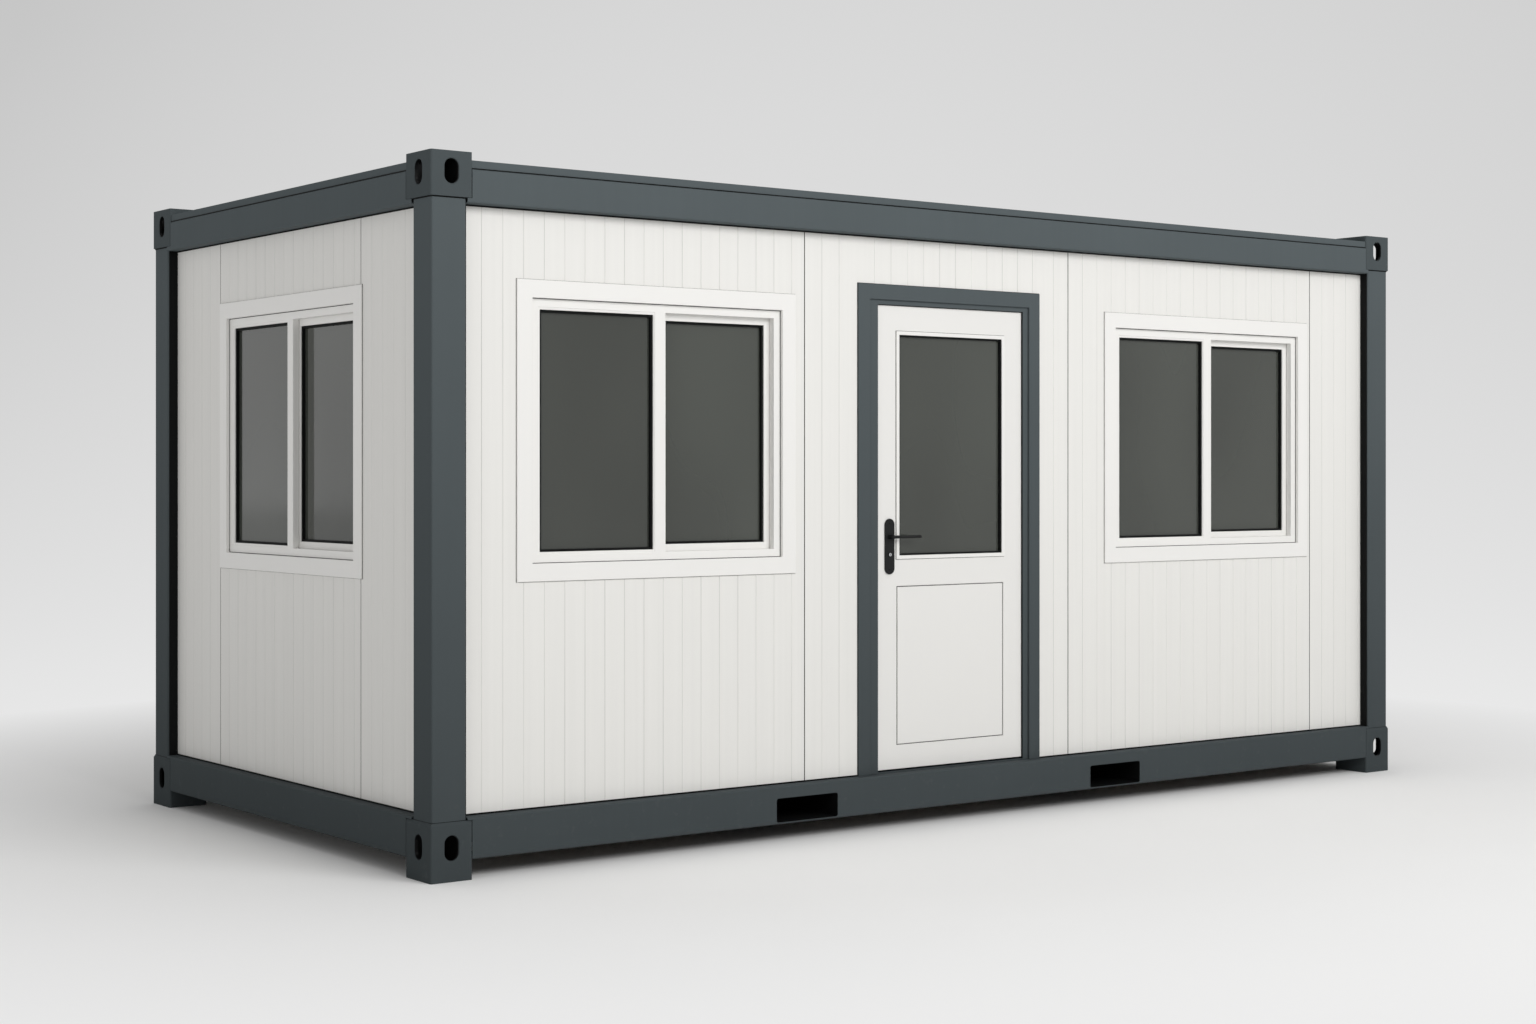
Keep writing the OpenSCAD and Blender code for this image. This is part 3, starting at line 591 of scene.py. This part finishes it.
def make_wall_edge_seals():
    """Dark rubber edges along the foot and the head of every wall."""
    shape = bmesh.new()
    post_x, post_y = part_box("back_right_post")[0][:2]
    foot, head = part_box("front_bottom_rail")[1][2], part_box("front_top_rail")[0][2]
    proud, tall = 0.003, 0.0065
    whole = [(-post_x, post_x)]
    past_door = [(-post_x, door_low[0]), (door_high[0], post_x)]
    for z0, z1, stretches in ((foot, foot + tall, past_door), (head - tall, head, whole)):
        for x0, x1 in stretches:
            add_block(shape, (x0, front_face - proud, z0), (x1, front_face + BEDDED, z1))
        add_block(shape, (-post_x, -front_face - BEDDED, z0), (post_x, -front_face + proud, z1))
        for x0, x1 in both_sides(-end_face + proud, -end_face - BEDDED):
            add_block(shape, (x0, -post_y, z0), (x1, post_y, z1))
    finish_piece("wall_edge_seals", shape, "house", "rubber_strip")


# ---------- Windows ----------

def window_size(name):
    """Half of a window's length along its wall, its foot and its head."""
    low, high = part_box(name)
    along = 0 if name.startswith("front") else 1
    return (high[along] - low[along]) / 2, low[2], high[2]


def at_window(name, depth=0.0, aside=0.0, height=0.0):
    """Takes a part drawn for the front to a window, a depth behind the outside of the house."""
    middle = middle_of(*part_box(name))
    if name.startswith("front"):
        spot, turn = (middle[0] + aside, house_low[1] + depth, height), 0
    elif name == "left_window":
        spot, turn = (house_low[0] + depth, middle[1] - aside, height), -90
    else:
        spot, turn = (house_high[0] - depth, middle[1] + aside, height), 90
    return Matrix.Translation(spot) @ Matrix.Rotation(math.radians(turn), 4, "Z")


def make_opening_shade_lines():
    """Dark lines on the wall round the door frame and round each window: painted shade, made as thin strips.
    """
    shape = bmesh.new()
    wide, tall = 0.0025, 0.0015
    top = door_high[2]
    for x in (door_low[0] - wide, door_high[0]):
        add_block(shape, (x, front_face - tall, seal_z[0]), (x + wide, front_face + BEDDED, top + wide))
    add_block(shape, (door_low[0], front_face - tall, top), (door_high[0], front_face + BEDDED, top + wide))
    for name in WINDOWS:
        half, foot, head = window_size(name)
        edge = (-half, foot, half, head)
        part = bmesh.new()
        add_ring(part, grown(edge, 0.0012), edge, -0.001, BEDDED)
        tidy_faces(part)
        join(shape, part, at_window(name, wall_depth))
    finish_piece("opening_shade_lines", shape, "house", "rubber_strip")


def make_window_shade_lines():
    """A fine dark line where each window's trim meets its frame: painted shade."""
    shape = bmesh.new()
    line = 0.0025
    for name in WINDOWS:
        half, foot, head = window_size(name)
        edge = grown((-half, foot, half, head), -TRIM_WIDTH)
        part = bmesh.new()
        add_ring(part, edge, grown(edge, -line), FRAME_DEPTH - 0.0015, FRAME_DEPTH + 0.0002)
        tidy_faces(part)
        join(shape, part, at_window(name))
    finish_piece("window_shade_lines", shape, "house", "rubber_strip")


def make_sash_latches():
    """A small pull with a turning catch on the inner face of each sliding sash."""
    shape = bmesh.new()
    height = middle_of(*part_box("front_left_window"))[2]
    for name in WINDOWS:
        part = bmesh.new()
        add_block(part, (-0.013, 0, -0.055), (0.013, 0.005, 0.055), 0.002)
        add_disc(part, (0, 0.005, 0.0), (0, 1, 0), 0.010, 0.006, 0.9, 20)
        add_block(part, (-0.005, 0.009, -0.004), (0.005, 0.015, 0.034), 0.0015)
        join(shape, part, at_window(name, SASH_DEPTH, 0.008, height))
    finish_piece("sash_latches", shape, "house", "black_hardware")


# ---------- Door ----------

leaf_low, leaf_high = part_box("door_leaf")
glass_low, glass_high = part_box("door_glass")
bead_low, bead_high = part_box("door_bead")
plate_low, plate_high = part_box("handle_plates")
bead_edge = (bead_low[0], bead_low[2], bead_high[0], bead_high[2])


def make_door_glass_seals():
    """Black seals between the glass and its beads, on both faces."""
    shape = bmesh.new()
    outer = grown((glass_low[0], glass_low[2], glass_high[0], glass_high[2]), -BEDDED)
    inner = grown(bead_edge, -0.025)
    add_ring(shape, outer, inner, leaf_low[1] + BEDDED, glass_low[1])
    add_ring(shape, outer, inner, glass_high[1], leaf_high[1] - BEDDED)
    tidy_faces(shape)
    finish_piece("door_glass_seals", shape, "door", "rubber_strip")


def make_door_gasket():
    """Soft gasket on the back of the frame's lip, at both jambs and the head."""
    shape = bmesh.new()
    x0, x1, top = leaf_low[0] + 0.013, leaf_high[0] - 0.013, leaf_high[2] - 0.010
    back, front = leaf_low[1] - 0.001, leaf_low[1] - 0.005
    foot = door_low[2] + 0.006
    out, inn = 0.010, 0.003
    add_block(shape, (x0 - out, front, foot), (x0 + inn, back, top + out))
    add_block(shape, (x1 - inn, front, foot), (x1 + out, back, top + out))
    add_block(shape, (x0 - out, front, top - inn), (x1 + out, back, top + out))
    finish_piece("door_gasket", shape, "house", "rubber_strip")


def make_door_shade_lines():
    """Fine dark lines round the bead and in the groove of the lower panel, on both faces: painted shade."""
    shape = bmesh.new()
    groove = (bead_low[0] + 0.004, DOOR_GROOVE[0], bead_high[0] - 0.004, DOOR_GROOVE[1])
    thin, wide = 0.0018, 0.0024
    line = grown(groove, -thin)
    for face, inward in ((leaf_low[1], 1), (leaf_high[1], -1)):
        add_ring(shape, grown(bead_edge, thin), bead_edge,
                 *sorted((face - 0.0006 * inward, face + 0.0002 * inward)))
        add_ring(shape, line, grown(line, -wide), *sorted((face + 0.0020 * inward, face + 0.0031 * inward)))
    tidy_faces(shape)
    finish_piece("door_shade_lines", shape, "door", "rubber_strip")


def make_hinge_screws():
    """Three screws in each hinge plate, on the leaf and on the frame."""
    low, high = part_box("door_hinges")
    half_plate, thick, from_edge, spacing = 0.0525, 0.003, 0.019, 0.036
    heights = [low[2] + half_plate, (low[2] + high[2]) / 2, high[2] - half_plate]
    face = leaf_high[1] + thick
    for name, body, x in (("door_hinge_screws", "door", low[0] + from_edge),
                          ("frame_hinge_screws", "house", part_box("frame_hinges")[1][0] - from_edge)):
        shape = bmesh.new()
        for z in heights:
            for step in (-spacing, 0.0, spacing):
                add_screw(shape, (x, face, z + step), (0, 1, 0), 0.0045)
        finish_piece(name, shape, body, "bare_steel")


def make_plate_screws():
    """A screw at the top and the foot of each handle plate."""
    x = (plate_low[0] + plate_high[0]) / 2
    shape = bmesh.new()
    for z in (plate_low[2] + 0.022, plate_high[2] - 0.022):
        add_screw(shape, (x, leaf_low[1] - PLATE_THICK, z), (0, -1, 0), 0.0035)
        add_screw(shape, (x, leaf_high[1] + PLATE_THICK, z), (0, 1, 0), 0.0035)
    finish_piece("plate_screws", shape, "door", "black_hardware")


def make_lock_cylinder():
    """The steel end of the lock cylinder with a black block as painted shade for its keyway, on both faces.
    """
    x, z = (plate_low[0] + plate_high[0]) / 2, KEYHOLE_HEIGHT
    metal, keyway_shade = bmesh.new(), bmesh.new()
    for face, out in ((plate_low[1], -1), (plate_high[1], 1)):
        add_disc(metal, (x, face, z), (0, out, 0), 0.0075, 0.0006, 0.95, 24)
        y0, y1 = sorted((face + out * 0.0005, face + out * 0.0009))
        add_block(keyway_shade, (x - 0.0012, y0, z - 0.0045), (x + 0.0012, y1, z + 0.0045))
    finish_piece("lock_cylinder", metal, "door", "bare_steel")
    finish_piece("lock_keyway_shade", keyway_shade, "door", "rubber_strip")


# ---------- Roof ----------

def make_roof_screws():
    """Hex screws through the ribs of the roof sheet, in four rows."""
    low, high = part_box("roof_sheet")
    shape = bmesh.new()
    ribs = int((high[0] - low[0]) / RIB_STEP / 2)
    rows = (low[1] + 0.13, low[1] * 0.35, high[1] * 0.35, high[1] - 0.13)
    for index in range(-ribs, ribs + 1):
        for y in rows:
            add_hex_screw(shape, (index * RIB_STEP, y, high[2]), (0, 0, 1), 0.004)
    finish_piece("roof_screws", shape, "house", "bare_steel")


for make in (make_joint_seals, make_skirting, make_frame_shade_lines, make_wall_edge_seals,
             make_opening_shade_lines, make_door_glass_seals, make_door_gasket, make_door_shade_lines,
             make_hinge_screws, make_plate_screws, make_lock_cylinder, make_window_shade_lines,
             make_sash_latches, make_roof_screws):
    make()


# ---------- Stage, light and camera ----------

EYE = (-7.361, -9.548, 1.626)
BACKDROP_TONES = ((0.0, 0.845), (0.30, 0.825), (0.40, 0.785), (0.64, 0.725), (0.86, 0.690), (1.0, 0.650))


def backdrop_colour(tree, vector):
    """Pale grey, lightest low down, that darkens slowly upwards and to both sides."""
    split = add(tree, "SeparateXYZ", links={"Vector": vector})
    tone = add(tree, "FloatCurve", {}, {"Value": spread(tree, split.outputs["Z"], -0.25, 0.25)})
    curve = tone.mapping.curves[0]
    curve.points[0].location = BACKDROP_TONES[0]
    curve.points[1].location = BACKDROP_TONES[-1]
    for point in BACKDROP_TONES[1:-1]:
        curve.points.new(*point)
    tone.mapping.update()
    aside = math_node(tree, "ABSOLUTE", math_node(tree, "SUBTRACT", split.outputs["X"], 0.62))
    fall = math_node(tree, "MULTIPLY", math_node(tree, "MULTIPLY", aside, aside),
                     spread(tree, split.outputs["Z"], -0.12, 0.18, 0.25, 1.35))
    level = math_node(tree, "SUBTRACT", tone.outputs[0], math_node(tree, "MINIMUM", fall, 0.12))
    return add(tree, "CombineColor", links={0: level, 1: level, 2: level}).outputs[0]


def light_world():
    """Soft light all round, a backdrop for the eye and through glass, and a brighter left in mirrors."""
    world = bpy.data.worlds.new("studio")
    scene.world = world
    world.use_nodes = True
    sky = world.node_tree
    sky.nodes.clear()
    direction = add(sky, "TexCoord").outputs["Generated"]
    side = add(sky, "SeparateXYZ", links={"Vector": direction}).outputs["X"]
    rays = add(sky, "LightPath").outputs
    seen = math_node(sky, "MAXIMUM", rays["Is Camera Ray"], rays["Is Transmission Ray"])
    white = {"Color": (1.0, 1.0, 1.0, 1)}
    lighting = add(sky, "Background", links={"Strength": spread(sky, side, -0.9, 0.0, 0.36, 0.485)},
                   values=white)
    mirrored = add(sky, "Background", links={"Strength": spread(sky, side, -0.5, 0.3, 1.0, 0.72)},
                   values=white)
    showing = add(sky, "Background", links={"Color": backdrop_colour(sky, direction)},
                  values={"Strength": 1.0})
    direct = add(sky, "MixShader", links={0: seen, 1: lighting.outputs[0], 2: showing.outputs[0]})
    chosen = add(sky, "MixShader", links={0: rays["Is Glossy Ray"], 1: direct.outputs[0],
                                          2: mirrored.outputs[0]})
    add(sky, "OutputWorld", links={"Surface": chosen.outputs[0]})


def floor_finish():
    """Matt pale floor that keeps the shadow and goes over into the backdrop far away."""
    material = bpy.data.materials.new("studio_floor")
    material.use_nodes = True
    tree = material.node_tree
    tree.nodes.clear()
    spot = add(tree, "TexCoord").outputs["Object"]
    to_eye = add(tree, "LightPath").outputs["Is Camera Ray"]
    tone = add(tree, "Mix", {"data_type": "RGBA"}, {"Factor": to_eye},
               {6: (0.76, 0.76, 0.755, 1), 7: (0.970, 0.967, 0.960, 1)})
    cloudy = spread(tree, noise(tree, (1, 1, 1), 3.0, 0.35), 0.3, 0.7, 0.99, 1.01)
    matt = add(tree, "BsdfDiffuse", links={"Color": shade(tree, tone.outputs[2], cloudy)})
    away = add(tree, "VectorMath", {"operation": "LENGTH"}, {0: spot}).outputs["Value"]
    from_eye = add(tree, "VectorMath", {"operation": "SUBTRACT"}, {0: spot}, {1: EYE}).outputs[0]
    aim = add(tree, "VectorMath", {"operation": "NORMALIZE"}, {0: from_eye}).outputs[0]
    glow = add(tree, "Emission", links={"Color": backdrop_colour(tree, aim)}, values={"Strength": 1.0})
    soft = add(tree, "MixShader", links={0: spread(tree, away, 3.2, 6.4), 1: matt.outputs[0],
                                         2: glow.outputs[0]})
    add(tree, "OutputMaterial", links={"Surface": soft.outputs[0]})
    return material


def lay_floor():
    """A wide round floor."""
    shape = bmesh.new()
    bmesh.ops.create_circle(shape, cap_ends=True, segments=96, radius=90)
    mesh = bpy.data.meshes.new("studio_floor")
    shape.to_mesh(mesh)
    shape.free()
    mesh.materials.append(floor_finish())
    floor = bpy.data.objects.new("studio_floor", mesh)
    scene.collection.objects.link(floor)


def soft_lamp(name, spot, target, size, power):
    """A broad soft lamp that looks at a point."""
    data = bpy.data.lights.new(name, "AREA")
    data.shape = "RECTANGLE"
    data.size, data.size_y = size
    data.energy = power
    lamp = bpy.data.objects.new(name, data)
    scene.collection.objects.link(lamp)
    lamp.location = spot
    lamp.rotation_euler = (Vector(target) - Vector(spot)).to_track_quat("-Z", "Y").to_euler()


def set_camera():
    """A level camera at eye height, its picture shifted down a little."""
    data = bpy.data.cameras.new("camera")
    data.sensor_width = 36.0
    data.lens = 54.64
    data.shift_y = -0.0265
    data.clip_end = 500
    camera = bpy.data.objects.new("camera", data)
    scene.collection.objects.link(camera)
    camera.location = EYE
    camera.rotation_euler = (math.radians(90), 0, math.radians(-36.77))
    scene.camera = camera


light_world()
lay_floor()
soft_lamp("front_light", (0.8, -12.8, 8.0), (0.0, -1.4, 1.3), (10, 6), 1000)
soft_lamp("left_light", (-13.0, -3.0, 2.0), (-2.9, 0.0, 1.0), (6, 3), 100)
set_camera()
scene.view_settings.view_transform = "Standard"
